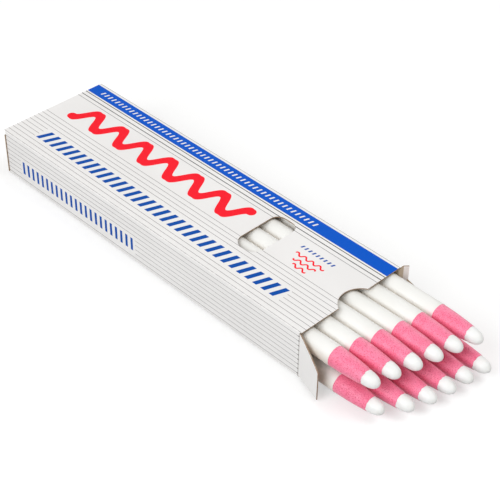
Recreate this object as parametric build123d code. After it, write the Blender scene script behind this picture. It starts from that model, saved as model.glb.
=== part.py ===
from build123d import *
import math
import os

os.makedirs("parts", exist_ok=True)

# A dozen paper-wrapped china markers in their open board carton. Millimetres, +Z up.
# +X runs along the carton to its open front end, -Y is the side panel on the viewer's left.

# One marker
marker_length = 178.0
marker_diameter = 8.8
core_diameter = 6.2
wrap_thickness = 0.12
glue_line = 0.02
tip_length = 6.2
cone_length = 15.3
cone_bow = 0.22
cone_end_wall = 0.14

# Two rows of markers
markers_per_row = 6
side_play = 0.31
row_play = 0.15
end_play = 3.7
top_row_reach = [34.5, 36.5, 39.0, 41.25, 43.2, 45.5]
bottom_row_reach = [37.7, 44.3, 47.35, 48.9, 49.9, 50.9]

# Corrugated divider between the rows
divider_height = 2.2
liner_thickness = 0.3
fluting_thickness = 0.28
flutes = 12
divider_front_setback = 5.0
divider_back_play = 2.0
divider_edge_play = 0.5

# Carton board
board = 0.5
crease_radius = 0.6
crease_gap = 0.08
tab_slide = 0.35
tab_play = 0.22
panel_edge_play = 1.0
tab_length = 10.0
tab_corner_radius = 5.0
glue_flap_width = 12.0
glue_flap_setback = 4.0
glue_flap_slant = 6.0
flap_length = 14.3
flap_foot = 0.7
flap_head = 0.8
back_flap_play = 0.15
flap_outer_height = 14.3
left_flap_flare = 18.0
right_flap_flare = 12.0
right_flap_head = 2.7
right_flap_outer_height = 12.4
ear_flare = 70.0
ear_length = 3.7
ear_foot = 14.0
ear_head = 0.14
ear_slant = 0.9
ear_overlap = 0.5
back_flap_head = 1.1

# Window and thumb notch in the top panel
window_setback = 44.7
window_depth = 12.5
window_span = 26.1
window_y = 4.05
window_near_radius = 5.6
window_far_radius = 4.2
notch_radius = 9.5
notch_depth = 4.8
notch_y = 0.5

# Sizes that follow from the above
marker_radius = marker_diameter / 2
core_radius = core_diameter / 2
pitch = marker_diameter + side_play
width = markers_per_row * marker_diameter + (markers_per_row + 1) * side_play + 2 * board
glue_flap_z = board + glue_line
bottom_row_z = glue_flap_z + board + row_play + marker_radius
divider_z = bottom_row_z + marker_radius + row_play
top_row_z = divider_z + divider_height + row_play + marker_radius
tab_under_z = top_row_z + marker_radius + tab_play
tab_top_z = tab_under_z + board
height = tab_top_z + tab_slide + board
end_build = 2 * board + 2 * crease_gap
length = marker_length + end_play + 2 * end_build
front_x = length / 2
back_x = -length / 2
side_y = width / 2
inner_y = side_y - board
floor_lift = board + crease_gap


def block(x0, x1, y0, y1, z0, z1):
    """A square-edged block between two corners."""
    return Pos((x0 + x1) / 2, (y0 + y1) / 2, (z0 + z1) / 2) * Box(x1 - x0, y1 - y0, z1 - z0)


def upright_sheet(outline, y0, y1):
    """A sheet cut to an outline of (x, z) points, standing between two y values."""
    face = Plane.XZ * make_face(Polyline(*outline, close=True))
    return Pos(0, y0, 0) * extrude(face, amount=y1 - y0, dir=(0, 1, 0))


def across_sheet(outline, x0, x1):
    """A sheet cut to an outline of (y, z) points, standing between two x values."""
    face = Plane.YZ * make_face(Polyline(*outline, close=True))
    return Pos(x0, 0, 0) * extrude(face, amount=x1 - x0, dir=(1, 0, 0))


def rounded_tab(x_root, x_tip, half_width, z0, z1):
    """A flat tuck tab whose two outer corners are rounded."""
    sheet = block(min(x_root, x_tip), max(x_root, x_tip), -half_width, half_width, z0, z1)
    corners = [e for e in sheet.edges().filter_by(Axis.Z) if abs(e.center().X - x_tip) < 0.01]
    return fillet(corners, tab_corner_radius)


def turned(outline):
    """A solid turned about the X axis from an outline in the plane of that axis."""
    return revolve(Plane.XZ * make_face(outline), Axis.X)


# The marker's three layers, with the cut end of the marker at x = 0
tip_start = marker_length - tip_length
wrap_end = tip_start - cone_length
barrel_radius = marker_radius - wrap_thickness - glue_line
barrel_bore = core_radius + glue_line
cone_end_radius = core_radius + cone_end_wall

core_side = Polyline((tip_start, core_radius), (0, core_radius), (0, 0), (marker_length, 0))
core_nose = Spline(
    (tip_start, core_radius),
    (tip_start + 0.40 * tip_length, 0.92 * core_radius),
    (tip_start + 0.75 * tip_length, 0.71 * core_radius),
    (marker_length, 0),
    tangents=[(1, -0.03), (0, -1)],
)
wax_core = turned(core_side + core_nose)

cone_middle = ((wrap_end + tip_start) / 2, (barrel_radius + cone_end_radius) / 2 + cone_bow)
cone_side = ThreePointArc((wrap_end, barrel_radius), cone_middle, (tip_start, cone_end_radius))
barrel_side = Polyline(
    (tip_start, cone_end_radius),
    (tip_start, barrel_bore),
    (0, barrel_bore),
    (0, barrel_radius),
    (wrap_end, barrel_radius),
)
paper_barrel = turned(cone_side + barrel_side)

wrap_bore = marker_radius - wrap_thickness
white_wrap = turned(
    Polyline(
        (0, wrap_bore),
        (wrap_end, wrap_bore),
        (wrap_end, marker_radius),
        (0, marker_radius),
        close=True,
    )
)

pieces = {}
rows = [("top", top_row_z, top_row_reach), ("bottom", bottom_row_z, bottom_row_reach)]
for row, row_z, reaches in rows:
    for i in range(markers_per_row):
        marker_y = (i - (markers_per_row - 1) / 2) * pitch
        place = Pos(front_x + reaches[i] - marker_length, marker_y, row_z)
        pieces[f"{row}_{i + 1}_wax_core"] = place * wax_core
        pieces[f"{row}_{i + 1}_paper_barrel"] = place * paper_barrel
        pieces[f"{row}_{i + 1}_white_wrap"] = place * white_wrap

# The carton's four panels, mitred where the board folds round the long creases
sleeve = Pos(0, height / 2) * (
    RectangleRounded(width, height, crease_radius) - Rectangle(width - 2 * board, height - 2 * board)
)


def panel(corner_a, corner_b, inner_b, inner_a, x0, x1):
    """One panel of the sleeve: the part of its section between two mitre lines."""
    section = sleeve & make_face(Polyline(corner_a, corner_b, inner_b, inner_a, close=True))
    return Pos(x0, 0, 0) * extrude(Plane.YZ * section, amount=x1 - x0, dir=(1, 0, 0))


low_left = (-side_y, 0)
low_right = (side_y, 0)
high_left = (-side_y, height)
high_right = (side_y, height)
in_low_left = (-inner_y, board)
in_low_right = (inner_y, board)
in_high_left = (-inner_y, height - board)
in_high_right = (inner_y, height - board)

flap_crease_x = front_x - board - crease_gap
side_front_x = flap_crease_x - crease_gap
side_back_x = back_x + end_build

top_panel = panel(high_left, high_right, in_high_right, in_high_left, back_x, front_x)
window_x = front_x - window_setback - window_depth / 2
window = Pos(window_x, window_y, height - board / 2) * Box(window_depth, window_span, 4 * board)
window_edges = window.edges().filter_by(Axis.Z)
near_edges = [e for e in window_edges if e.center().Y < window_y - window_span / 4]
window = fillet(near_edges, window_near_radius)
window_edges = window.edges().filter_by(Axis.Z)
far_edges = [e for e in window_edges if e.center().Y > window_y + window_span / 2 - 0.01]
window = fillet(far_edges, window_far_radius)
notch = Pos(front_x + notch_radius - notch_depth, notch_y, height - board / 2) * Cylinder(
    notch_radius, 4 * board
)
pieces["top_panel"] = top_panel - window - notch
pieces["bottom_panel"] = panel(
    low_left, low_right, in_low_right, in_low_left, back_x + board + crease_gap, front_x - crease_gap
)
pieces["left_side_panel"] = panel(
    low_left, high_left, in_high_left, in_low_left, side_back_x, side_front_x
)
pieces["right_side_panel"] = panel(
    low_right, high_right, in_high_right, in_low_right, side_back_x, side_front_x
)

# The glue flap folds in from the right side panel and lies on the bottom panel
glue_flap_face = make_face(
    Polyline(
        (back_x + glue_flap_setback, inner_y),
        (front_x - glue_flap_setback, inner_y),
        (front_x - glue_flap_setback - glue_flap_slant, inner_y - glue_flap_width),
        (back_x + glue_flap_setback + glue_flap_slant, inner_y - glue_flap_width),
        close=True,
    )
)
pieces["glue_flap"] = Pos(0, 0, glue_flap_z) * extrude(glue_flap_face, amount=board, dir=(0, 0, 1))

# Single-faced corrugated divider: a flat liner with the fluting glued on top of it
divider_half = inner_y - divider_edge_play
divider_back = side_back_x + flap_length + divider_back_play
divider_front = front_x - divider_front_setback
pieces["divider_liner"] = block(
    divider_back, divider_front, -divider_half, divider_half, divider_z, divider_z + liner_thickness
)
wave_low = divider_z + liner_thickness + glue_line
wave_high = divider_z + divider_height - fluting_thickness
wave_middle = (wave_low + wave_high) / 2
wave_swing = (wave_high - wave_low) / 2
wave_steps = 8 * flutes
wave = []
for k in range(wave_steps + 1):
    wave_y = -divider_half + 2 * divider_half * k / wave_steps
    wave.append((wave_y, wave_middle - wave_swing * math.cos(2 * math.pi * flutes * k / wave_steps)))
wave_above = [(y, z + fluting_thickness) for y, z in wave]
fluting_edges = [
    Spline(*wave),
    Line(wave[-1], wave_above[-1]),
    Spline(*reversed(wave_above)),
    Line(wave_above[0], wave[0]),
]
fluting_face = Plane.YZ * make_face(Curve() + fluting_edges)
pieces["divider_fluting"] = Pos(divider_back, 0, 0) * extrude(
    fluting_face, amount=divider_front - divider_back, dir=(1, 0, 0)
)

# Front dust flaps, cut flat in line with the side panels and then swung outwards
flap_end_x = flap_crease_x + flap_length
flap_top_z = height - flap_head
left_outline = [
    (flap_crease_x, flap_foot),
    (flap_end_x, flap_foot),
    (flap_end_x, flap_outer_height),
    (flap_crease_x, flap_top_z),
]
left_crease = Axis((flap_crease_x, -side_y, 0), (0, 0, 1))
left_flap = upright_sheet(left_outline, -side_y, -side_y + board)
pieces["front_left_dust_flap"] = left_flap.rotate(left_crease, -left_flap_flare)
right_flap_top_z = height - right_flap_head
right_flap_fall = (right_flap_top_z - right_flap_outer_height) / flap_length
right_outline = [
    (flap_crease_x, flap_foot),
    (flap_end_x, flap_foot),
    (flap_end_x, right_flap_outer_height),
    (flap_crease_x + ear_length, right_flap_top_z - right_flap_fall * ear_length),
    (flap_crease_x + ear_length, ear_foot + ear_overlap),
    (flap_crease_x, ear_foot + ear_overlap),
]
right_crease = Axis((flap_crease_x, side_y, 0), (0, 0, 1))
right_flap = upright_sheet(right_outline, side_y - board, side_y).rotate(right_crease, right_flap_flare)

# The right flap's upper corner has come loose along a short cut and stands out as an ear
ear_outline = [
    (flap_crease_x, ear_foot),
    (flap_crease_x + ear_length, ear_foot),
    (flap_crease_x + ear_length, height - ear_head),
    (flap_crease_x + ear_slant, height - ear_head),
    (flap_crease_x, flap_top_z),
]
ear = upright_sheet(ear_outline, side_y - board, side_y).rotate(right_crease, ear_flare)
pieces["front_right_dust_flap"] = right_flap + ear

# Front closing panel and its tuck tab, folded flat back under the carton
panel_half = side_y - panel_edge_play
tab_half = inner_y - panel_edge_play
folded_top_z = -crease_gap
folded_low_z = folded_top_z - board
folded_end_x = front_x - tab_top_z
pieces["front_closing_panel"] = block(
    folded_end_x, front_x, -panel_half, panel_half, folded_low_z, folded_top_z
)
front_tab_root = folded_end_x - crease_gap
front_tab_tip = front_tab_root - tab_length
pieces["front_tuck_tab"] = rounded_tab(
    front_tab_root, front_tab_tip, tab_half, folded_low_z, folded_top_z
)

# Back end, tucked shut: closing panel outside, dust flaps behind it, tab under the top panel
pieces["back_closing_panel"] = block(back_x, back_x + board, -panel_half, panel_half, 0, tab_top_z)
back_tab_root = back_x + board + crease_gap
back_tab_tip = back_tab_root + tab_length
pieces["back_tuck_tab"] = rounded_tab(back_tab_root, back_tab_tip, tab_half, tab_under_z, tab_top_z)
back_flap_x0 = back_x + board + crease_gap
back_flap_x1 = back_flap_x0 + board
back_flap_foot = glue_flap_z + board + back_flap_play
back_flap_top = tab_under_z - back_flap_head
back_flap_end = inner_y - flap_length
back_left_outline = [
    (-inner_y + crease_gap, back_flap_foot),
    (-back_flap_end, back_flap_foot),
    (-back_flap_end, flap_outer_height),
    (-inner_y + crease_gap, back_flap_top),
]
back_right_outline = [(-y, z) for y, z in back_left_outline]
pieces["back_left_dust_flap"] = across_sheet(back_left_outline, back_flap_x0, back_flap_x1)
pieces["back_right_dust_flap"] = across_sheet(back_right_outline, back_flap_x0, back_flap_x1)

# The origin lies on the resting plane, under the middle of the whole pack as it stands
boxes = [p.bounding_box() for p in pieces.values()]
middle_x = (min(b.min.X for b in boxes) + max(b.max.X for b in boxes)) / 2
middle_y = (min(b.min.Y for b in boxes) + max(b.max.Y for b in boxes)) / 2
to_origin = Pos(-middle_x, -middle_y, floor_lift)

for name, piece in pieces.items():
    export_step((to_origin * piece).solid(), f"parts/{name}.step")
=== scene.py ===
import math
from collections import namedtuple

import bmesh
import bpy
from mathutils import Matrix, Vector, noise


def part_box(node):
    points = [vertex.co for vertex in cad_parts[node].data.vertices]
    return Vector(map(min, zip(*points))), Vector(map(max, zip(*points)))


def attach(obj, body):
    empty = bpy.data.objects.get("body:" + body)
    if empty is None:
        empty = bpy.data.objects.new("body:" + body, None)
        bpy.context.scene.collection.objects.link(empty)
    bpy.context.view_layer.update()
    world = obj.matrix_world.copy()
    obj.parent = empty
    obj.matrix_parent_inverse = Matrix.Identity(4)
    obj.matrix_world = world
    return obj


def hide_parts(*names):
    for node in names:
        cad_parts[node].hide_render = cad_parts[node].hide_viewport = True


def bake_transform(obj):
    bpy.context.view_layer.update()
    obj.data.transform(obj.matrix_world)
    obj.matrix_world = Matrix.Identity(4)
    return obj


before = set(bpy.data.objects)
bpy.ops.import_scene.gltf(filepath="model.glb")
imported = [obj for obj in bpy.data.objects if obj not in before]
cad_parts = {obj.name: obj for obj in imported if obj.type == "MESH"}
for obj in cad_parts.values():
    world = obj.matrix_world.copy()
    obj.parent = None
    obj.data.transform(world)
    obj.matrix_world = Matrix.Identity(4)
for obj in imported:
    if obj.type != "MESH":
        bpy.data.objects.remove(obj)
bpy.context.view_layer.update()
scene = bpy.context.scene
scene.view_settings.view_transform = "Standard"

# A dozen paper-wrapped china markers, drawn partly out of their open board carton.
# Sizes are in millimetres of the carton: x along it to the open front, y across it, z up from its floor.
MM = 0.001
X, Y, Z = 0, 1, 2
LOW, HIGH = 0, 1
roof_low, roof_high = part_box("top_panel")
carton_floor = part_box("bottom_panel")[LOW].z
carton_middle = Vector(((roof_low.x + roof_high.x) / 2, (roof_low.y + roof_high.y) / 2, carton_floor))


def in_row(x, y, z):
    """A point of the carton, in millimetres, as a point of the shared frame in metres."""
    return carton_middle + Vector((x, y, z)) * MM


def edge_of(node, corner, axis):
    """One limit of a CAD node's box, in carton millimetres."""
    return (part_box(node)[corner][axis] - carton_middle[axis]) / MM


# The carton's panels
front_x = edge_of("top_panel", HIGH, X)
back_x = edge_of("top_panel", LOW, X)
side_y = edge_of("right_side_panel", HIGH, Y)
carton_height = edge_of("top_panel", HIGH, Z)
side_front_x = edge_of("left_side_panel", HIGH, X)
side_back_x = edge_of("left_side_panel", LOW, X)
floor_front_x = edge_of("bottom_panel", HIGH, X)
floor_back_x = edge_of("bottom_panel", LOW, X)
glue_flap_z = edge_of("glue_flap", LOW, Z)
glue_flap_y = edge_of("glue_flap", LOW, Y)
glue_flap_front = edge_of("glue_flap", HIGH, X)
glue_flap_slant = 6.0
board = 0.5
crease_radius = 0.6

# The roof's window and thumb notch
window_x = (34.81, 47.31)
window_y = (-9.0, 17.1)
window_near_radius = 5.6
window_far_radius = 4.2
notch_radius = 9.5
notch_depth = 4.8
notch_y = 0.5


def paint(red, green, blue):
    """A colour given as 0 to 255 screen values, as the linear colour that a shader takes."""
    def linear(value):
        share = value / 255
        return share / 12.92 if share <= 0.04045 else ((share + 0.055) / 1.055) ** 2.4
    return (linear(red), linear(green), linear(blue), 1.0)


class Nodes:
    """Adds nodes to one tree. An argument may be a number, a colour or another node's output."""

    first_colour, second_colour, mixed_colour = 6, 7, 2

    def __init__(self, tree):
        self.tree = tree

    def add(self, kind, **settings):
        node = self.tree.nodes.new(kind)
        for key, value in settings.items():
            setattr(node, key, value)
        return node

    def feed(self, socket, value):
        if isinstance(value, bpy.types.NodeSocket):
            self.tree.links.new(value, socket)
        else:
            socket.default_value = value

    def set(self, node, **inputs):
        """Feeds a node's inputs by their names, with _ for a space."""
        for name, value in inputs.items():
            self.feed(node.inputs[name.replace("_", " ")], value)
        return node.outputs

    def math(self, operation, *values):
        node = self.add("ShaderNodeMath", operation=operation)
        for socket, value in zip(node.inputs, values):
            self.feed(socket, value)
        return node.outputs[0]

    def most(self, first, *others):
        """The highest of several values."""
        for other in others:
            first = self.math("MAXIMUM", first, other)
        return first

    def product(self, first, second):
        return self.math("MULTIPLY", first, second)

    def half(self, value):
        return self.product(value, 0.5)

    def less(self, first, second):
        """The first value less the second."""
        return self.math("SUBTRACT", first, second)

    def times(self, place, factors):
        """A place with each of its three parts multiplied."""
        node = self.add("ShaderNodeVectorMath", operation="MULTIPLY")
        self.feed(node.inputs[0], place)
        self.feed(node.inputs[1], factors)
        return node.outputs[0]

    def ramp(self, value, low, high, to_low=0.0, to_high=1.0):
        """A smooth step from to_low at low to to_high at high."""
        node = self.add("ShaderNodeMapRange", interpolation_type="SMOOTHSTEP")
        self.set(node, Value=value, From_Min=low, From_Max=high, To_Min=to_low, To_Max=to_high)
        return node.outputs["Result"]

    def inside(self, past, softness):
        """1 inside a printed shape and 0 outside, where past is the distance past its edge."""
        return self.ramp(past, -softness, softness, 1.0, 0.0)

    def mix(self, share, first, second):
        node = self.add("ShaderNodeMix", data_type="RGBA")
        self.feed(node.inputs["Factor"], share)
        self.feed(node.inputs[self.first_colour], first)
        self.feed(node.inputs[self.second_colour], second)
        return node.outputs[self.mixed_colour]

    def noise(self, place, scale, detail, roughness):
        node = self.add("ShaderNodeTexNoise")
        return self.set(node, Vector=place, Scale=scale, Detail=detail, Roughness=roughness)["Fac"]

    def blank_place(self):
        """The place on the flat sheet of a piece, in millimetres."""
        flat = self.add("ShaderNodeUVMap", uv_map="blank").outputs["UV"]
        split = self.set(self.add("ShaderNodeSeparateXYZ"), Vector=flat)
        return split["X"], split["Y"]

    def group(self, tree, **inputs):
        return self.set(self.add("ShaderNodeGroup", node_tree=tree), **inputs)


# Effects that the materials share
ON_BLANK = dict(Along=0.0, Across=0.0, Middle_Along=0.0, Middle_Across=0.0)


def node_group(name, outputs, **inputs):
    """An empty shader group, and the two nodes that stand for its ends. An input of None is a place."""
    tree = bpy.data.node_groups.new(name, "ShaderNodeTree")
    for label, value in inputs.items():
        kind = "NodeSocketVector" if value is None else "NodeSocketFloat"
        socket = tree.interface.new_socket(label.replace("_", " "), in_out="INPUT", socket_type=kind)
        if value is not None:
            socket.default_value = value
    for label in outputs:
        tree.interface.new_socket(label, in_out="OUTPUT", socket_type="NodeSocketFloat")
    nodes = Nodes(tree)
    return nodes, nodes.add("NodeGroupInput").outputs, nodes.add("NodeGroupOutput").inputs


def fibre_group():
    """Paper: fine fibres that may be drawn out along x, specks, and soft clouds of tone."""
    n, given, out = node_group("paper fibre", ["Fibre", "Speckle", "Cloud"],
                               Place=None, Grain=1.0, Stretch=1.0, Cloud_Size=8.0)
    grain = given["Grain"]
    lengthwise = n.math("DIVIDE", grain, given["Stretch"])
    drawn_out = n.set(n.add("ShaderNodeCombineXYZ"), X=lengthwise, Y=grain, Z=grain)
    fine = n.times(given["Place"], drawn_out["Vector"])
    n.feed(out["Fibre"], n.noise(fine, scale=1.0, detail=5.0, roughness=0.65))
    n.feed(out["Speckle"], n.noise(fine, scale=2.6, detail=2.0, roughness=0.5))
    cloud_scale = n.math("DIVIDE", 1.0, given["Cloud Size"])
    n.feed(out["Cloud"], n.noise(given["Place"], scale=cloud_scale, detail=2.0, roughness=0.5))
    return n.tree


def fold_wear_and_highlight_group():
    """Where board is folded its coating cracks: a broken pale line along the crease, whiter as a painted
    highlight.
    """
    n, given, out = node_group("fold wear", ["Wear", "Crack"], Place=None, Fold=0.0, Amount=0.6)
    broken = n.ramp(n.noise(given["Place"], scale=0.9, detail=4.0, roughness=0.7), 0.42, 0.66)
    n.feed(out["Wear"], n.product(n.product(given["Fold"], broken), given["Amount"]))
    cracks = n.noise(given["Place"], scale=3.2, detail=3.0, roughness=0.6)
    n.feed(out["Crack"], n.product(given["Fold"], cracks))
    return n.tree


def line_row_group():
    """Evenly spaced thin printed lines, counted from the first one."""
    n, given, out = node_group("line row", ["Mask"], Across=0.0, First=0.0, Pitch=2.34, Lines=1.0,
                               Line_Width=0.2)
    step = n.math("DIVIDE", n.less(given["First"], given["Across"]), given["Pitch"])
    nearest = n.math("FLOOR", n.math("ADD", step, 0.5))
    nearest = n.math("MINIMUM", n.most(nearest, 0.0), n.less(given["Lines"], 1.0))
    away = n.product(n.math("ABSOLUTE", n.less(step, nearest)), given["Pitch"])
    past = n.less(away, n.half(given["Line Width"]))
    n.feed(out["Mask"], n.inside(past, softness=0.04))
    return n.tree


def oblong_group():
    """A plain printed or blank oblong with rounded corners."""
    n, given, out = node_group("printed oblong", ["Mask"], **ON_BLANK, Length=1.0, Height=1.0, Corner=0.1)
    squares = []
    for place, middle, size in (("Along", "Middle Along", "Length"), ("Across", "Middle Across", "Height")):
        away = n.math("ABSOLUTE", n.less(given[place], given[middle]))
        straight = n.less(n.half(given[size]), given["Corner"])
        out_by = n.most(n.less(away, straight), 0.0)
        squares.append(n.product(out_by, out_by))
    past = n.less(n.math("SQRT", n.math("ADD", *squares)), given["Corner"])
    n.feed(out["Mask"], n.inside(past, softness=0.06))
    return n.tree


def wave_group():
    """A drawn wavy stroke with round ends."""
    n, given, out = node_group("wavy stroke", ["Mask"], **ON_BLANK, Length=10.0, Swing=1.0, Wave_Length=5.0,
                               Stroke=1.0)
    along = n.less(given["Along"], given["Middle Along"])
    end = n.half(given["Length"])
    held = n.most(n.math("MINIMUM", along, end), n.product(end, -1.0))
    turn = n.product(n.math("DIVIDE", held, given["Wave Length"]), 2 * math.pi)
    crest = n.product(n.math("SINE", turn), given["Swing"])
    steepest = n.math("DIVIDE", n.product(given["Swing"], 2 * math.pi), given["Wave Length"])
    slope = n.product(n.math("COSINE", turn), steepest)
    lean = n.math("SQRT", n.math("ADD", n.product(slope, slope), 1.0))
    off = n.less(n.less(given["Across"], given["Middle Across"]), crest)
    off = n.math("DIVIDE", off, lean)
    beyond = n.less(along, held)
    away = n.math("ADD", n.product(off, off), n.product(beyond, beyond))
    past = n.less(n.math("SQRT", away), n.half(given["Stroke"]))
    n.feed(out["Mask"], n.inside(past, softness=0.08))
    return n.tree


def bar_row_group():
    """A row of short slanted bars, all alike."""
    n, given, out = node_group("bar row", ["Mask"], **ON_BLANK, Length=10.0, Height=4.0, Pitch=4.0, Bar=1.5,
                               Slant=0.3)
    across = n.less(given["Across"], given["Middle Across"])
    along = n.less(given["Along"], given["Middle Along"])
    along = n.less(along, n.product(across, given["Slant"]))
    step = n.math("DIVIDE", along, given["Pitch"])
    outermost = n.math("FLOOR", n.math("DIVIDE", n.half(given["Length"]), given["Pitch"]))
    nearest = n.math("FLOOR", n.math("ADD", step, 0.5))
    nearest = n.most(n.math("MINIMUM", nearest, outermost), n.product(outermost, -1.0))
    aside = n.product(n.math("ABSOLUTE", n.less(step, nearest)), given["Pitch"])
    aside = n.less(aside, n.half(given["Bar"]))
    above = n.less(n.math("ABSOLUTE", across), n.half(given["Height"]))
    n.feed(out["Mask"], n.inside(n.most(aside, above), softness=0.06))
    return n.tree


PAPER_FIBRE = fibre_group()
FOLD_WEAR_AND_HIGHLIGHT = fold_wear_and_highlight_group()
LINE_ROW = line_row_group()
OBLONG = oblong_group()
WAVE = wave_group()
BAR_ROW = bar_row_group()


# Materials
def new_material(name, grain, stretch, cloud):
    """A material, its shader's sockets, the place on the object in millimetres, and the fibre there."""
    material = bpy.data.materials.new(name)
    material.use_nodes = True
    n = Nodes(material.node_tree)
    shader = next(node for node in material.node_tree.nodes if node.type == "BSDF_PRINCIPLED")
    place = n.times(n.add("ShaderNodeTexCoord").outputs["Object"], (1 / MM, 1 / MM, 1 / MM))
    fibre = n.group(PAPER_FIBRE, Place=place, Grain=grain, Stretch=stretch, Cloud_Size=cloud)
    return material, n, shader.inputs, place, fibre


def clouded(n, fibre, first, second, low=0.3, high=0.7):
    """Two tones of one colour, in soft clouds."""
    return n.mix(n.ramp(fibre["Cloud"], low, high), first, second)


def fibre_roughness(n, fibre, smoothest, roughest):
    return n.ramp(fibre["Fibre"], 0.3, 0.7, smoothest, roughest)


def surface(n, shader, colour, roughness, height, strength, depth):
    """Gives a shader its colour, its roughness and its bumps, with their depth in millimetres."""
    n.feed(shader["Base Color"], colour)
    n.feed(shader["Roughness"], roughness)
    raised = n.set(n.add("ShaderNodeBump"), Strength=strength, Distance=depth * MM, Height=height)
    n.feed(shader["Normal"], raised["Normal"])


BOARD_WHITE = paint(240, 238, 237)
BOARD_CLOUD = paint(236, 234, 233)
CRACKED_COAT_AND_HIGHLIGHT = paint(243, 241, 238)
CREASE_SHADE_BROWN = paint(92, 80, 70)
LINE_GREY = paint(150, 148, 147)
LINE_DARK = paint(40, 42, 46)
LINE_AT_CREASE = paint(48, 42, 38)
BAND_BLUE = paint(0, 86, 198)
BAR_BLUE = paint(4, 78, 168)
STROKE_RED = paint(250, 28, 46)

# The print and a painted crease shade, in millimetres on the flat blank from the middle of the roof, with the
# band's side above 0
stripe_pitch = 2.34
left_stripe_first, left_stripe_count = -4.2, 20
right_stripe_first, right_stripe_count = 48.6, 9
roof_edge_line = 27.35
crease_starts, crease_ends = 28.2, 28.6
stripes_darken = (90.2, 90.9)
# Where the painted shade line along the side panels' front creases lies, and how strongly it is mixed in.
flap_crease_along = (90.9, 91.05)
crease_shade_share = 0.55
stripe_width, stripe_swell = 0.25, 0.2
band_across = 22.9
bar_slant = 0.35
roof_bars = (-3.0, -17.2)
side_gap, side_bars = (-42.5, -42.3), (-42.5, -42.2)
small_print_along = 65.0
small_waves = ((4.6, 15.0), (1.4, 11.0), (-1.6, 7.0))


def carton_print_and_crease_shade(n, colour):
    """Stripes, a blue band, rows of bars, wavy strokes and a painted crease shade. Gives the colour and where
    ink lies thick.
    """
    along, across = n.blank_place()

    def shape(group, middle, **sizes):
        return n.group(group, Along=along, Across=across, Middle_Along=middle[0], Middle_Across=middle[1],
                       **sizes)["Mask"]

    def lines(first, count, width, pitch=stripe_pitch):
        return n.group(LINE_ROW, Across=across, First=first, Pitch=pitch, Lines=float(count),
                       Line_Width=width)["Mask"]

    unlined = n.most(shape(OBLONG, roof_bars, Length=152.0, Height=9.4),
                     shape(OBLONG, side_gap, Length=78.0, Height=9.2))
    at_crease = n.product(n.ramp(along, *stripes_darken), n.ramp(across, -crease_starts, -crease_ends))
    swollen = n.math("ADD", n.product(at_crease, stripe_swell), stripe_width)
    stripes = n.most(lines(left_stripe_first, left_stripe_count, swollen),
                     lines(right_stripe_first, right_stripe_count, width=0.24),
                     lines(roof_edge_line, count=1, width=0.2))
    stripes = n.product(stripes, n.less(1.0, unlined))
    colour = n.mix(stripes, colour, n.mix(at_crease, LINE_GREY, LINE_AT_CREASE))
    # Painted shade: a thin brown line along the side panels' front creases, where the dust flaps bend out.
    flap_crease_shade = n.product(n.ramp(along, *flap_crease_along),
                            n.ramp(n.math("ABSOLUTE", across), crease_starts, crease_ends))
    colour = n.mix(n.product(flap_crease_shade, crease_shade_share), colour, CREASE_SHADE_BROWN)
    colour = n.mix(lines(first=14.1, count=1, width=0.3), colour, LINE_GREY)
    colour = n.mix(lines(first=18.6, count=2, width=0.4, pitch=2.3), colour, LINE_DARK)

    band = shape(OBLONG, (0.0, band_across), Length=400.0, Height=6.6)
    colour = n.mix(band, colour, BAND_BLUE)
    band_bars = shape(BAR_ROW, (-17.0, band_across), Length=138.0, Height=2.3, Pitch=2.5, Bar=0.8,
                      Slant=bar_slant)
    colour = n.mix(band_bars, colour, BOARD_WHITE)

    blue = n.most(
        shape(BAR_ROW, roof_bars, Length=146.0, Height=7.0, Pitch=4.55, Bar=2.3, Slant=bar_slant),
        shape(BAR_ROW, (small_print_along, 9.2), Length=17.0, Height=1.7, Pitch=2.05, Bar=0.85,
              Slant=bar_slant),
        shape(BAR_ROW, side_bars, Length=74.0, Height=6.4, Pitch=3.35, Bar=1.45, Slant=0.0),
    )
    colour = n.mix(blue, colour, BAR_BLUE)

    red = shape(WAVE, (-27.0, 5.6), Length=106.6, Swing=4.4, Wave_Length=16.4, Stroke=4.5)
    for wave_across, length in small_waves:
        red = n.most(red, shape(WAVE, (small_print_along, wave_across), Length=length, Swing=0.75,
                                Wave_Length=3.9, Stroke=0.75))
    colour = n.mix(red, colour, STROKE_RED)
    return colour, n.most(band, red, blue)


def coated_board(name, printed):
    """White coated folding board: smooth, faintly clouded, cracked pale along its folds with a painted
    highlight.
    """
    material, n, shader, place, fibre = new_material(name, grain=1.6, stretch=1.8, cloud=26.0)
    fold = n.add("ShaderNodeAttribute", attribute_name="fold").outputs["Fac"]
    wear_and_highlight = n.group(FOLD_WEAR_AND_HIGHLIGHT, Place=place, Fold=fold, Amount=0.55)
    colour = clouded(n, fibre, BOARD_WHITE, BOARD_CLOUD, high=0.75)
    roughness = fibre_roughness(n, fibre, 0.46, 0.56)
    if printed:
        colour, inked = carton_print_and_crease_shade(n, colour)
        ink_gloss = 0.1
        roughness = n.less(roughness, n.product(inked, ink_gloss))
    # Cracked and worn coating along the folds, painted a little whiter than the board as a highlight on the
    # crease.
    colour = n.mix(wear_and_highlight["Wear"], colour, CRACKED_COAT_AND_HIGHLIGHT)
    roughness = n.math("ADD", roughness, n.product(wear_and_highlight["Wear"], 0.25))
    height = n.math("ADD", n.half(fibre["Fibre"]), wear_and_highlight["Crack"])
    surface(n, shader, colour, roughness, height, strength=0.12, depth=0.06)
    shader["Specular IOR Level"].default_value = 0.04
    return material


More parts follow.
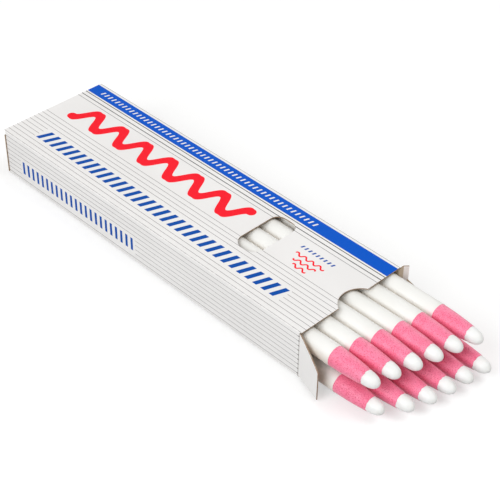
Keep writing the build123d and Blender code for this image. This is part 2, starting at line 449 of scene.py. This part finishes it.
def plain_board(name, rubbed_past=None):
    """The brown, fibrous inside of the board. It may be rubbed pale past a place on the blank."""
    material, n, shader, _, fibre = new_material(name, grain=1.1, stretch=3.0, cloud=12.0)
    colour = clouded(n, fibre, paint(206, 188, 168), paint(192, 173, 151))
    colour = n.mix(n.ramp(fibre["Speckle"], 0.62, 0.78), colour, paint(176, 160, 143))
    if rubbed_past is not None:
        softness = 0.15
        along, _ = n.blank_place()
        rubbed = n.ramp(along, rubbed_past - softness, rubbed_past + softness)
        colour = n.mix(rubbed, colour, paint(240, 231, 228))
    roughness = fibre_roughness(n, fibre, 0.82, 0.94)
    surface(n, shader, colour, roughness, fibre["Fibre"], strength=0.25, depth=0.08)
    return material


def raw_edge():
    """The cut edge of the board: brown-grey pulp."""
    material, n, shader, _, fibre = new_material("raw board edge", grain=2.4, stretch=1.0, cloud=3.0)
    pulp = n.mix(n.ramp(fibre["Fibre"], 0.32, 0.68), paint(170, 144, 120), paint(130, 106, 86))
    colour = clouded(n, fibre, pulp, paint(186, 172, 156), low=0.45, high=0.8)
    roughness = fibre_roughness(n, fibre, 0.88, 0.97)
    surface(n, shader, colour, roughness, fibre["Speckle"], strength=0.5, depth=0.1)
    return material


def wrap_paper():
    """Smooth white paper: faint grain, a lapped seam underneath, painted shade where markers meet."""
    material, n, shader, _, fibre = new_material("white wrapping paper", grain=1.5, stretch=2.0, cloud=14.0)
    colour = clouded(n, fibre, paint(241, 240, 237), paint(237, 236, 232))
    _, across = n.blank_place()
    from_seam = n.math("ABSOLUTE", across)
    # Painted warm shade on the wrap's two sides, a quarter turn from the seam, where it lies against its
    # neighbours.
    quarter_turn = 6.9
    from_shaded_side = n.math("ABSOLUTE", n.less(from_seam, quarter_turn))
    colour = n.mix(n.ramp(from_shaded_side, 0.4, 3.6, 0.28, 0.0), colour, paint(216, 196, 172))
    seam = n.ramp(from_seam, 0.03, 0.16, 1.0, 0.0)
    colour = n.mix(n.product(seam, 0.45), colour, paint(205, 200, 190))
    height = n.less(n.product(fibre["Cloud"], 0.4), seam)
    surface(n, shader, colour, fibre_roughness(n, fibre, 0.52, 0.6), height, strength=0.05, depth=0.03)
    return material


def pink_paper():
    """Rolled pink paper cut to a cone: open fibres, light and dark specks."""
    material, n, shader, _, fibre = new_material("pink rolled paper", grain=1.15, stretch=1.2, cloud=4.0)
    colour = clouded(n, fibre, paint(248, 124, 160), paint(245, 106, 145))
    dark_specks = n.product(n.ramp(fibre["Speckle"], 0.5, 0.7), 0.75)
    colour = n.mix(dark_specks, colour, paint(202, 40, 78))
    light_specks = n.half(n.ramp(fibre["Speckle"], 0.46, 0.3))
    colour = n.mix(light_specks, colour, paint(252, 156, 184))
    height = n.math("ADD", fibre["Fibre"], n.half(fibre["Speckle"]))
    surface(n, shader, colour, fibre_roughness(n, fibre, 0.5, 0.62), height, strength=0.35, depth=0.08)
    shader["Specular IOR Level"].default_value = 0.9
    shader["Sheen Weight"].default_value = 0.3
    return material


def white_wax():
    """White wax: dense, a little translucent, with a soft rubbed sheen."""
    material, n, shader, _, fibre = new_material("white wax", grain=0.7, stretch=1.0, cloud=3.0)
    colour = clouded(n, fibre, paint(241, 241, 240), paint(236, 236, 234), low=0.35)
    roughness = fibre_roughness(n, fibre, 0.34, 0.5)
    surface(n, shader, colour, roughness, fibre["Cloud"], strength=0.2, depth=0.15)
    shader["Subsurface Weight"].default_value = 0.25
    shader["Subsurface Radius"].default_value = (1.0, 0.95, 0.9)
    shader["Subsurface Scale"].default_value = 0.0012
    return material


def kraft_paper():
    """Brown corrugating paper."""
    material, n, shader, _, fibre = new_material("brown corrugated paper", grain=1.2, stretch=4.0, cloud=10.0)
    colour = clouded(n, fibre, paint(190, 158, 118), paint(172, 140, 102))
    colour = n.mix(n.ramp(fibre["Speckle"], 0.6, 0.75), colour, paint(140, 110, 78))
    roughness = fibre_roughness(n, fibre, 0.85, 0.95)
    surface(n, shader, colour, roughness, fibre["Fibre"], strength=0.3, depth=0.08)
    return material


PRINTED_BOARD = coated_board("printed white board", True)
COATED_BOARD = coated_board("plain white board", False)
BOARD_INSIDE = plain_board("uncoated board inside")
RAW_EDGE = raw_edge()
WRAP_PAPER = wrap_paper()
PINK_PAPER = pink_paper()
WAX = white_wax()
KRAFT = kraft_paper()


# Meshes
def even(length, step):
    """Stops about one step apart, up to the length."""
    count = max(1, round(length / step))
    return [length * (k + 1) / count for k in range(count)]


def spaced(low, high, count):
    """Places from low to high, both included."""
    return [low + (high - low) * k / count for k in range(count + 1)]


def new_piece(name, mesh, sharp_angle):
    """An object of the mesh, with all faces outwards and smooth but for its sharp edges."""
    turned = bmesh.new()
    turned.from_mesh(mesh)
    bmesh.ops.recalc_face_normals(turned, faces=turned.faces)
    turned.to_mesh(mesh)
    turned.free()
    mesh.shade_smooth()
    mesh.set_sharp_from_angle(angle=math.radians(sharp_angle))
    piece = bpy.data.objects.new(name, mesh)
    scene.collection.objects.link(piece)
    return piece


# Board pieces: a sheet is drawn as the path of its outer face in a section across its folds
PathPoint = namedtuple("PathPoint", "a b normal_a normal_b distance fold")
bend_steps = 6
same_place = 1e-9
OUTSIDE, INSIDE, RIM = 0, 1, 2


def path(start, heading, steps, mirror=1):
    """The outer face of a folded strip in its section plane. A step is ("run", stops), with the stops'
    distances along it, or ("turn", angle, radius). mirror of -1 has the outer face on the other hand."""
    a, b = start
    points = []
    distance = 0.0
    angle = math.radians(heading)

    def put(fold):
        normal = (mirror * math.sin(angle), -mirror * math.cos(angle))
        points.append(PathPoint(a, b, *normal, distance, fold))

    put(0.0)
    for kind, *sizes in steps:
        if kind == "run":
            done = 0.0
            for stop in sizes[0]:
                a += math.cos(angle) * (stop - done)
                b += math.sin(angle) * (stop - done)
                distance += stop - done
                done = stop
                put(0.0)
        else:
            turned, radius = sizes
            turn = math.radians(turned) / bend_steps
            chord = 2 * radius * math.sin(abs(turn) / 2)
            for k in range(bend_steps):
                angle += turn / 2
                a += math.cos(angle) * chord
                b += math.sin(angle) * chord
                angle += turn / 2
                distance += radius * abs(turn)
                put(1.0 if k < bend_steps - 1 else 0.0)
    return points


def board_piece(name, columns, to_xyz, blank, faces_of):
    """A sheet of board with thickness. A column is (path point, runs), where runs are one or two lists of
    places along the fold; two runs leave an opening between them, unless they meet."""
    outer, inner, uv, fold, rows_of = [], [], [], [], []
    for point, runs in columns:
        inner_a, inner_b = point.a - point.normal_a * board, point.b - point.normal_b * board
        rows = []
        for run in runs:
            meets = bool(rows) and abs(run[0] - runs[0][-1]) < same_place
            row = [rows[0][-1]] if meets else []
            for place in run[len(row):]:
                row.append(len(outer))
                outer.append(to_xyz(point.a, point.b, place))
                inner.append(to_xyz(inner_a, inner_b, place))
                uv.append(blank(point.distance, place))
                fold.append(point.fold)
            rows.append(row)
        rows_of.append(rows)
    faces = []
    for left, right in zip(rows_of, rows_of[1:]):
        for p, q in zip(left, right):
            faces += [[p[k], p[k + 1], q[k + 1], q[k]] for k in range(len(p) - 1)]
        if len(left) > 1:
            # Where an opening starts or ends, a triangle of board closes its corner.
            corners = list(dict.fromkeys([left[0][-1], left[1][0], right[1][0], right[0][-1]]))
            if len(corners) == 3:
                faces.append(corners)
    count = len(outer)
    sheet = [(f, OUTSIDE) for f in faces] + [([i + count for i in reversed(f)], INSIDE) for f in faces]
    edges = dict.fromkeys((p, q) for f in faces for p, q in zip(f, f[1:] + f[:1]))
    sheet += [([q, p, p + count, q + count], RIM) for p, q in edges if (q, p) not in edges]
    mesh = bpy.data.meshes.new(name)
    mesh.from_pydata(outer + inner, [], [f for f, _ in sheet])
    for polygon, (_, which) in zip(mesh.polygons, sheet):
        polygon.material_index = which
    layer = mesh.uv_layers.new(name="blank")
    for loop in mesh.loops:
        layer.data[loop.index].uv = uv[loop.vertex_index % count]
    mesh.attributes.new("fold", "FLOAT", "POINT").data.foreach_set("value", fold + fold)
    for material in faces_of:
        mesh.materials.append(material)
    piece = new_piece(name, mesh, sharp_angle=40)
    return piece


# The sleeve: four panels and the glue flap
roof_flat = side_y - crease_radius
quarter_bend = [math.radians(9 * k) for k in range(11)]
notch_steps = 14
roof_steps = 36
closest_places = 0.02
rows_behind_window, rows_before_window = 40, 18
upright_step, floor_step = 2.0, 2.5
roof_give, side_give = 0.16, 0.14
steady_give, patchy_give = 0.6, 0.4
give_patch = 38
side_patch = 40
end_stiffness = 6
face_slack = 0.05
window_slack = 1e-6
glue_bend_share = 0.4


def window_inset(y):
    """How far the window's rounded corners come in at this place across the panel."""
    low, high = window_y
    if y < low + window_near_radius:
        radius, past = window_near_radius, low + window_near_radius - y
    elif y > high - window_far_radius:
        radius, past = window_far_radius, y - (high - window_far_radius)
    else:
        return 0.0
    return radius - math.sqrt(max(radius * radius - past * past, 0.0))


def notch_front(y):
    """The top panel's front edge, with the thumb notch in it."""
    aside = y - notch_y
    if abs(aside) >= notch_radius:
        return front_x
    return min(front_x, front_x + notch_radius - notch_depth - math.sqrt(notch_radius ** 2 - aside * aside))


def roof_places():
    """Places across the roof from right to left, close together at the window's corners and the notch."""
    near = [window_y[0] + window_near_radius * (1 - math.cos(angle)) for angle in quarter_bend]
    far = [window_y[1] - window_far_radius * (1 - math.cos(angle)) for angle in quarter_bend]
    reach = math.acos((notch_radius - notch_depth) / notch_radius)
    notch = [notch_y + notch_radius * math.sin(reach * k / notch_steps)
             for k in range(-notch_steps, notch_steps + 1)]
    places = [roof_flat]
    for y in sorted(near + far + notch + spaced(-roof_flat, roof_flat, roof_steps), reverse=True):
        if places[-1] - y > closest_places:
            places.append(y)
    return places


def give(amount, ends, middle, patch):
    """Board is never quite flat: how far it gives between its creases, unevenly."""
    unevenness = steady_give + patchy_give * noise.noise(patch / give_patch)
    return max(amount * ends * (1 - middle ** 2) * unevenness, 0.0)


def sleeve_point(y, z, x):
    """A point of the sleeve, with the roof and the sides given in a little."""
    ends = 1 - (abs(x) / front_x) ** end_stiffness
    near_face = board + face_slack
    if abs(z - carton_height) < near_face and abs(y) < roof_flat:
        z -= give(roof_give, ends, y / roof_flat, Vector((x, y, 0)))
    elif abs(abs(y) - side_y) < near_face and crease_radius < z < carton_height - crease_radius:
        middle = (z - carton_height / 2) / (carton_height / 2 - crease_radius)
        y -= math.copysign(give(side_give, ends, middle, Vector((x, z, side_patch))), y)
    return in_row(x, y, z)


def sleeve():
    """The carton's four panels and glue flap, as one folded sheet with its window and thumb notch."""
    glue_run = roof_flat - glue_flap_y
    right_run = carton_height - glue_flap_z - 2 * crease_radius
    left_run = carton_height - 2 * crease_radius
    floor_run = 2 * side_y - crease_radius
    crease = ("turn", 90, crease_radius)
    points = path(
        (glue_flap_y, glue_flap_z), 0.0,
        [("run", even(glue_run, floor_step)), crease,
         ("run", even(right_run, upright_step)), crease,
         ("run", [roof_flat - y for y in roof_places()[1:]]), crease,
         ("run", even(left_run, upright_step)), crease,
         ("run", even(floor_run, floor_step))],
    )
    quarter = crease_radius * math.pi / 2
    to_right = glue_run + quarter / 2
    to_top = glue_run + quarter + right_run + quarter / 2
    top_middle = to_top + quarter / 2 + roof_flat
    to_left = top_middle + roof_flat + quarter / 2
    to_bottom = to_left + quarter + left_run
    window_middle = (window_x[0] + window_x[1]) / 2
    columns = []
    for point in points:
        y, distance = point.a, point.distance
        gap = (window_middle, window_middle)
        if distance < to_right - quarter * glue_bend_share:
            slant = glue_flap_slant * (1 - (y - glue_flap_y) / glue_run)
            low, high = -glue_flap_front + slant, glue_flap_front - slant
        elif distance < to_top or to_left <= distance < to_bottom:
            low, high = side_back_x, side_front_x
        elif distance < to_left:
            low, high = back_x, front_x
            if abs(distance - top_middle) <= roof_flat:
                high = notch_front(y)
                if window_y[0] - window_slack <= y <= window_y[1] + window_slack:
                    inset = window_inset(y)
                    gap = (window_x[0] + inset, window_x[1] - inset)
        else:
            low, high = floor_back_x, floor_front_x
        runs = [spaced(low, gap[0], rows_behind_window), spaced(gap[1], high, rows_before_window)]
        columns.append((point, runs))
    piece = board_piece("carton_sleeve", columns, sleeve_point, lambda d, x: (x, top_middle - d),
                        (PRINTED_BOARD, BOARD_INSIDE, RAW_EDGE))
    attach(piece, "carton")
    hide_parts("top_panel", "bottom_panel", "left_side_panel", "right_side_panel", "glue_flap")


sleeve()

# Dust flaps, whose blanks start clear of the sleeve's print
PLAIN_FACES = (COATED_BOARD, BOARD_INSIDE, RAW_EDGE)
flap_blank = 200
flap_length = 14.3
flap_foot = edge_of("front_left_dust_flap", LOW, Z)
flap_top = edge_of("front_left_dust_flap", HIGH, Z)
flap_step = 0.7
flap_rows = 14
front_bend = 0.9

left_flare = 18.0
left_outer_height = 14.3
left_edge_bow = 0.55
left_flap_short = 0.02

right_flare = 12.0
right_root_height = 20.14
right_outer_height = 12.4

ear_flare = 70.0
ear_bend = 0.35
ear_length = 3.7
ear_short = 0.05
ear_foot = 14.0
ear_top = edge_of("front_right_dust_flap", HIGH, Z)
ear_overlap = 0.5
ear_slant = 0.9
ear_outer = 2.1
ear_curl = 22.0
ear_curl_radius = 0.3
ear_slit = 0.01
EAR_INSIDE = plain_board("rubbed board inside", flap_blank + ear_length - ear_outer)

back_flap_foot = edge_of("back_left_dust_flap", LOW, Z)
back_flap_top = edge_of("back_left_dust_flap", HIGH, Z)
back_flap_x = edge_of("back_left_dust_flap", LOW, X)
back_bend = side_back_x - back_flap_x


def flap_path(corner, heading, turn, bend, length, mirror, also=(), outer_fold=None):
    """A flap's section from the crease on its side panel. also are further stops along it, and outer_fold is
    (length, angle, radius) of an outer part that is folded once more."""
    run = length - abs(math.radians(turn)) * bend / 2
    if outer_fold:
        outer, angle, radius = outer_fold
        runs = [("run", even(run - outer, flap_step)), ("turn", angle, radius),
                ("run", even(outer, flap_step))]
    else:
        runs = [("run", sorted(even(run, flap_step) + [d - (length - run) for d in also]))]
    return path(corner, heading, [("turn", turn, bend)] + runs, mirror)


def dust_flap(name, node, points, length, foot, top_edge, faces_of=PLAIN_FACES):
    """A dust flap that hangs on its side panel by a bent crease. top_edge gives its height by the distance
    out."""
    before = points[-1].distance - length
    columns = [(p, [spaced(foot, top_edge(max(p.distance - before, 0.0)), flap_rows)]) for p in points]
    piece = board_piece(name, columns, in_row, lambda d, z: (flap_blank + d, z), faces_of)
    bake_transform(piece)
    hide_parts(node)


def front_left_flap():
    """The flap that is swung out to the left, with a slightly bowed slanted edge."""
    def top_edge(d):
        share = d / flap_length
        bow = left_edge_bow * math.sin(math.pi * min(share, 1.0))
        return flap_top + (left_outer_height - flap_top) * share + bow

    length = flap_length - left_flap_short
    points = flap_path((side_front_x, -side_y), 0.0, -left_flare, front_bend, length, 1)
    dust_flap("front_left_flap_board", "front_left_dust_flap", points, length, flap_foot, top_edge)


def front_right_flap():
    """The flap behind the markers, cut down where its upper corner has come loose as an ear."""
    def top_edge(d):
        if d < ear_length:
            return ear_foot + ear_overlap
        return right_root_height + (right_outer_height - right_root_height) * d / flap_length

    points = flap_path((side_front_x, side_y), 0.0, right_flare, front_bend, flap_length, -1,
                       also=(ear_length - ear_slit, ear_length + ear_slit))
    dust_flap("front_right_flap_board", "front_right_dust_flap", points, flap_length, flap_foot, top_edge)


def front_right_ear():
    """The right flap's loose upper corner, swung far out, its outer half folded and rubbed pale."""
    def top_edge(d):
        return flap_top + (ear_top - flap_top) * min(d / ear_slant, 1.0)

    length = ear_length - ear_short
    points = flap_path((side_front_x, side_y), 0.0, ear_flare, ear_bend, length, -1,
                       outer_fold=(ear_outer, -ear_curl, ear_curl_radius))
    dust_flap("front_right_ear_board", "front_right_dust_flap", points, length, ear_foot, top_edge,
              (COATED_BOARD, EAR_INSIDE, RAW_EDGE))


def back_flap(name, side):
    """A back flap, folded in before the back panel. side is -1 on the left and 1 on the right."""
    def top_edge(d):
        return back_flap_top + (left_outer_height - back_flap_top) * min(d / flap_length, 1.0)

    points = flap_path((side_back_x, side * side_y), 180.0, 90.0 * side, back_bend, flap_length, -side)
    dust_flap(f"back_{name}_flap_board", f"back_{name}_dust_flap", points, flap_length, back_flap_foot,
              top_edge)


front_left_flap()
front_right_flap()
front_right_ear()
back_flap("left", -1)
back_flap("right", 1)

# Closing panels and tuck tabs
tab_radius = 5.0
tab_half = edge_of("back_tuck_tab", HIGH, Y)
panel_half = edge_of("back_closing_panel", HIGH, Y)
panel_step, tab_step = 1.5, 1.2
panel_rows = 30
back_panel_blank, back_tab_blank, front_panel_blank, front_tab_blank = 300, 340, 400, 440

tab_top = edge_of("back_tuck_tab", HIGH, Z)
back_turn = floor_back_x - back_x
folded_z = edge_of("front_closing_panel", HIGH, Z)
folded_front = edge_of("front_closing_panel", HIGH, X)
folded_back = edge_of("front_closing_panel", LOW, X)


def tab_width(to_end):
    """Half the width of a tuck tab with round outer corners, by the distance to its end."""
    if to_end >= tab_radius:
        return tab_half
    return tab_half - tab_radius + math.sqrt(max(tab_radius ** 2 - (tab_radius - to_end) ** 2, 0.0))


def tab_stops(run):
    """Places along a tab, close together where its corners turn."""
    return even(run - tab_radius, tab_step) + [run - tab_radius * (1 - math.sin(a)) for a in quarter_bend[1:]]


def closing_sheet(name, points, half_width, blank_from):
    """A closing panel or tuck tab, lying across the carton. half_width is by the distance to its end."""
    columns = []
    for point in points:
        half = half_width(points[-1].distance - point.distance)
        columns.append((point, [spaced(-half, half, panel_rows)]))
    return board_piece(name, columns, lambda a, b, y: in_row(a, y, b), lambda d, y: (blank_from + d, y),
                       PLAIN_FACES)


def back_closing_panel():
    """The panel that shuts the back end."""
    rise = tab_top - 2 * back_turn
    points = path((floor_back_x, 0.0), 180.0, [("turn", -90, back_turn), ("run", even(rise, panel_step))], -1)
    piece = closing_sheet("back_closing_board", points, lambda to_end: panel_half, back_panel_blank)
    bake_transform(piece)
    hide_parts("back_closing_panel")


def back_tuck_tab():
    """The back panel's tab, tucked in under the roof."""
    run = edge_of("back_tuck_tab", HIGH, X) - (back_x + back_turn)
    crease_z = tab_top - back_turn
    points = path((back_x, crease_z), 90.0, [("turn", -90, back_turn), ("run", tab_stops(run))], -1)
    piece = closing_sheet("back_tab_board", points, tab_width, back_tab_blank)
    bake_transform(piece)
    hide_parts("back_tuck_tab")


def front_closing_panel():
    """The open front's panel, folded back flat under the carton."""
    points = path((folded_front, folded_z), 180.0, [("run", even(folded_front - folded_back, panel_step))])
    piece = closing_sheet("front_closing_board", points, lambda to_end: panel_half, front_panel_blank)
    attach(piece, "front_closing_panel")
    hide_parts("front_closing_panel")


def front_tuck_tab():
    """The front panel's tab, flat under the carton too."""
    run = folded_back - edge_of("front_tuck_tab", LOW, X)
    points = path((folded_back, folded_z), 180.0, [("run", tab_stops(run))])
    piece = closing_sheet("front_tab_board", points, tab_width, front_tab_blank)
    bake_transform(piece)
    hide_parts("front_tuck_tab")


back_closing_panel()
back_tuck_tab()
front_closing_panel()
front_tuck_tab()

# Markers
markers_per_row = 6
marker_radius = 4.4
wrap_thickness = 0.12
barrel_radius = 4.26
barrel_bore = 3.12
core_radius = 3.1
cone_end_radius = 3.24
cone_bow = 0.22
tip_length = 6.2
cone_length = 15.3
around = 72

wrap_lip, barrel_lip, core_lip = 0.03, 0.02, 0.05
core_end_radius = 0.05
wrap_rings = 31
wrap_wave, wrap_wave_grain, wrap_wave_drift = 0.01, 0.8, 0.02
wrap_cut, wrap_cut_grain = 0.1, 2.5
cone_steps, cone_grain = 22, 4.0
cone_rough, cone_rag, cone_rag_from = 0.03, 0.3, 0.9
under_wrap, under_cone = 1.0, 1.5
tip_steps, tip_steps_short, tip_fullness = 20, 0.55, 2.4
tip_wave, tip_grain = 0.035, 1.0
other_noise = Vector((7.1, 0, 0))


def lathe(name, rings, centre, closed, material, body, node):
    """A turned piece on the marker's axis. A ring gives (x, radius) by the turn from 0 to 1. A closed piece
    is a tube, and an open one has its ends filled."""
    verts, faces, uv = [], [], []
    turn_length = 2 * math.pi * marker_radius
    for place_at in rings:
        for k in range(around):
            x, r = place_at(k / around)
            t = 2 * math.pi * k / around
            verts.append(centre + Vector((x, r * math.sin(t), r * math.cos(t))) * MM)
    count = len(rings)
    for j in range(count if closed else count - 1):
        start, following = j * around, (j + 1) % count * around
        for k in range(around):
            beside = (k + 1) % around
            face = (start + k, start + beside, following + beside, following + k)
            faces.append(face)
            uv += [(verts[i].x / MM, (turn / around - 0.5) * turn_length)
                   for i, turn in zip(face, (k, k + 1, k + 1, k))]
    if not closed:
        faces.append(tuple(reversed(range(around))))
        faces.append(tuple(range((count - 1) * around, count * around)))
        uv += [(0.0, turn_length / 4)] * (2 * around)
    mesh = bpy.data.meshes.new(name)
    mesh.from_pydata(verts, [], faces)
    layer = mesh.uv_layers.new(name="blank")
    for corner, place in zip(layer.data, uv):
        corner.uv = place
    mesh.materials.append(material)
    piece = new_piece(name, mesh, sharp_angle=38)
    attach(piece, body)
    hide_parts(node)


def ring(x, r, wobble_x=0.0, wobble_r=0.0, grain=3.0, seed=0.0, drift=0.37):
    """A ring of points at x with radius r, uneven by the given amounts; drift is the change along x."""
    def at(turn):
        t = 2 * math.pi * turn
        p = Vector((math.cos(t) * grain, math.sin(t) * grain, seed + x * drift))
        return x + wobble_x * noise.noise(p), r + wobble_r * noise.noise(p + other_noise)
    return at


def wrap_shape(wrap_end, seed):
    """The white wrap: a thin tube, a little uneven, with a hand-cut front edge."""
    bore = marker_radius - wrap_thickness
    rings = [ring(0, bore), ring(0, marker_radius - wrap_lip), ring(wrap_lip, marker_radius)]
    rings += [ring(wrap_end * k / wrap_rings, marker_radius - wrap_wave, 0, wrap_wave, wrap_wave_grain, seed,
                   wrap_wave_drift) for k in range(1, wrap_rings)]
    front = ((wrap_end - 2 * wrap_lip, marker_radius), (wrap_end, marker_radius - wrap_lip), (wrap_end, bore))
    return rings + [ring(x, r, wrap_cut, 0.0, wrap_cut_grain, seed) for x, r in front]


def barrel_shape(wrap_end, tip_start, seed):
    """The rolled paper barrel: a tube cut to a slightly bowed cone that is ragged at its end."""
    rings = [ring(0, barrel_bore), ring(0, barrel_radius - barrel_lip), ring(barrel_lip, barrel_radius),
             ring(wrap_end - under_wrap, barrel_radius)]
    for k in range(cone_steps + 1):
        share = k / cone_steps
        r = barrel_radius + (cone_end_radius - barrel_radius) * share + 4 * cone_bow * share * (1 - share)
        rough = cone_rough if 0 < k < cone_steps else 0.0
        rag = cone_rag * max(0.0, share - cone_rag_from) / (1 - cone_rag_from)
        rings.append(ring(wrap_end + cone_length * share, r, rag, rough, cone_grain, seed))
    return rings + [ring(tip_start, barrel_bore, cone_rag, 0.0, cone_grain, seed)]


def core_shape(tip_start, seed):
    """The wax core: a rod with a full, rounded nose."""
    rings = [ring(0, core_end_radius), ring(0, core_radius - core_lip), ring(core_lip, core_radius),
             ring(tip_start - under_cone, core_radius)]
    for k in range(tip_steps):
        share = math.sin(math.pi / 2 * k / (tip_steps - tip_steps_short))
        r = core_radius * math.sqrt(1 - share ** tip_fullness)
        rings.append(ring(tip_start + tip_length * share, r, 0.0, tip_wave * min(1, r), tip_grain, seed))
    return rings


def marker(row, number):
    """One marker: wax core, pink paper barrel and white wrap."""
    key = f"{row}_{number}"
    body = f"{key}_marker"
    low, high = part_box(f"{key}_white_wrap")
    centre = Vector((low.x, (low.y + high.y) / 2, (low.z + high.z) / 2))
    wrap_end = (high.x - low.x) / MM
    tip_start = wrap_end + cone_length
    seed = 10.0 * number + (100.0 if row == "bottom" else 0.0)
    rings = wrap_shape(wrap_end, seed)
    lathe(f"{key}_white_paper", rings, centre, True, WRAP_PAPER, body, f"{key}_white_wrap")
    rings = barrel_shape(wrap_end, tip_start, seed)
    lathe(f"{key}_pink_paper", rings, centre, True, PINK_PAPER, body, f"{key}_paper_barrel")
    rings = core_shape(tip_start, seed)
    lathe(f"{key}_wax_rod", rings, centre, False, WAX, body, f"{key}_wax_core")


for row in ("top", "bottom"):
    for number in range(1, markers_per_row + 1):
        marker(row, number)

# The corrugated divider between the rows keeps its CAD shape
for node in ("divider_liner", "divider_fluting"):
    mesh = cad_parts[node].data
    mesh.materials.clear()
    mesh.materials.append(KRAFT)

# Floor, light and camera, in metres
floor_half = 6.0
floor_grey = (0.56, 0.56, 0.56, 1)
glow_from, glow_to = 0.3, 1.0
glow_near, glow_far = 0.5, 1.0
ambient = 0.36
ambient_colour = (1.0, 0.95, 0.895, 1.0)
lamp_colour = (0.955, 0.983, 1.0)


def seen_by_eye(n):
    """1 for rays that show a picture of the surroundings: from the camera, a mirror or glass."""
    rays = n.add("ShaderNodeLightPath").outputs
    return n.most(rays["Is Camera Ray"], rays["Is Glossy Ray"], rays["Is Transmission Ray"])


def floor():
    """A pale matt floor that takes shadows and, to the eye, runs out into white."""
    mesh = bpy.data.meshes.new("floor")
    corners = [(-floor_half, -floor_half, 0), (floor_half, -floor_half, 0),
               (floor_half, floor_half, 0), (-floor_half, floor_half, 0)]
    mesh.from_pydata(corners, [], [(0, 1, 2, 3)])
    piece = bpy.data.objects.new("floor", mesh)
    scene.collection.objects.link(piece)
    material = bpy.data.materials.new("pale floor")
    material.use_nodes = True
    n = Nodes(material.node_tree)
    material.node_tree.nodes.clear()
    matt = n.set(n.add("ShaderNodeBsdfDiffuse"), Color=floor_grey)
    away = n.add("ShaderNodeVectorMath", operation="LENGTH")
    n.feed(away.inputs[0], n.add("ShaderNodeTexCoord").outputs["Object"])
    strength = n.ramp(away.outputs["Value"], glow_from, glow_to, glow_near, glow_far)
    glow = n.set(n.add("ShaderNodeEmission"), Strength=n.product(seen_by_eye(n), strength))
    both = n.add("ShaderNodeAddShader")
    n.feed(both.inputs[0], matt["BSDF"])
    n.feed(both.inputs[1], glow["Emission"])
    n.feed(n.add("ShaderNodeOutputMaterial").inputs["Surface"], both.outputs[0])
    mesh.materials.append(material)


def sky():
    """Even light from all round, which is plain white to the eye."""
    world = bpy.data.worlds.new("studio")
    scene.world = world
    world.use_nodes = True
    n = Nodes(world.node_tree)
    world.node_tree.nodes.clear()
    light = n.set(n.add("ShaderNodeBackground"), Color=ambient_colour, Strength=ambient)
    white = n.set(n.add("ShaderNodeBackground"), Color=(1.0, 1.0, 1.0, 1.0))
    either = n.add("ShaderNodeMixShader")
    n.feed(either.inputs[0], seen_by_eye(n))
    n.feed(either.inputs[1], light["Background"])
    n.feed(either.inputs[2], white["Background"])
    n.feed(n.add("ShaderNodeOutputWorld").inputs["Surface"], either.outputs[0])


def softbox(name, place, size, watts):
    """A square area lamp that is turned to the middle of the object."""
    lamp = bpy.data.lights.new(name, "AREA")
    lamp.shape = "SQUARE"
    lamp.size = size
    lamp.energy = watts
    lamp.color = lamp_colour
    piece = bpy.data.objects.new(name, lamp)
    piece.location = place
    piece.rotation_euler = (-Vector(place)).to_track_quat("-Z", "Y").to_euler()
    scene.collection.objects.link(piece)


floor()
sky()
softbox("softbox above", (0.5, 0.35, 1.08), size=0.65, watts=5.3)
softbox("softbox behind", (-0.75, 1.0, 0.42), size=0.7, watts=3.2)
softbox("softbox left", (0.05, -1.1, 0.8), size=0.9, watts=12.4)

photo_pixels = 500
focal_pixels = 1390.677
sensor_width = 36.0
lens_angles = (45.541, 39.036, 0.613)
lens_distance = 587.985
lens_aim = (23.717, 12.09, 0.0)
nearest_seen = 0.02


def camera():
    """The photograph's view."""
    azimuth, elevation, roll = (math.radians(angle) for angle in lens_angles)
    away = Vector((math.cos(elevation) * math.sin(azimuth), -math.cos(elevation) * math.cos(azimuth),
                   math.sin(elevation)))
    right = (-away).cross(Vector((0, 0, 1))).normalized()
    up = right.cross(-away)
    tilted_right = right * math.cos(roll) + up * math.sin(roll)
    tilted_up = up * math.cos(roll) - right * math.sin(roll)
    lens = bpy.data.cameras.new("camera")
    lens.sensor_width = sensor_width
    lens.lens = focal_pixels * sensor_width / photo_pixels
    lens.clip_start = nearest_seen
    piece = bpy.data.objects.new("camera", lens)
    turn = Matrix((tilted_right, tilted_up, away)).transposed().to_4x4()
    piece.matrix_world = Matrix.Translation(in_row(*lens_aim) + away * lens_distance * MM) @ turn
    scene.collection.objects.link(piece)
    scene.camera = piece


camera()
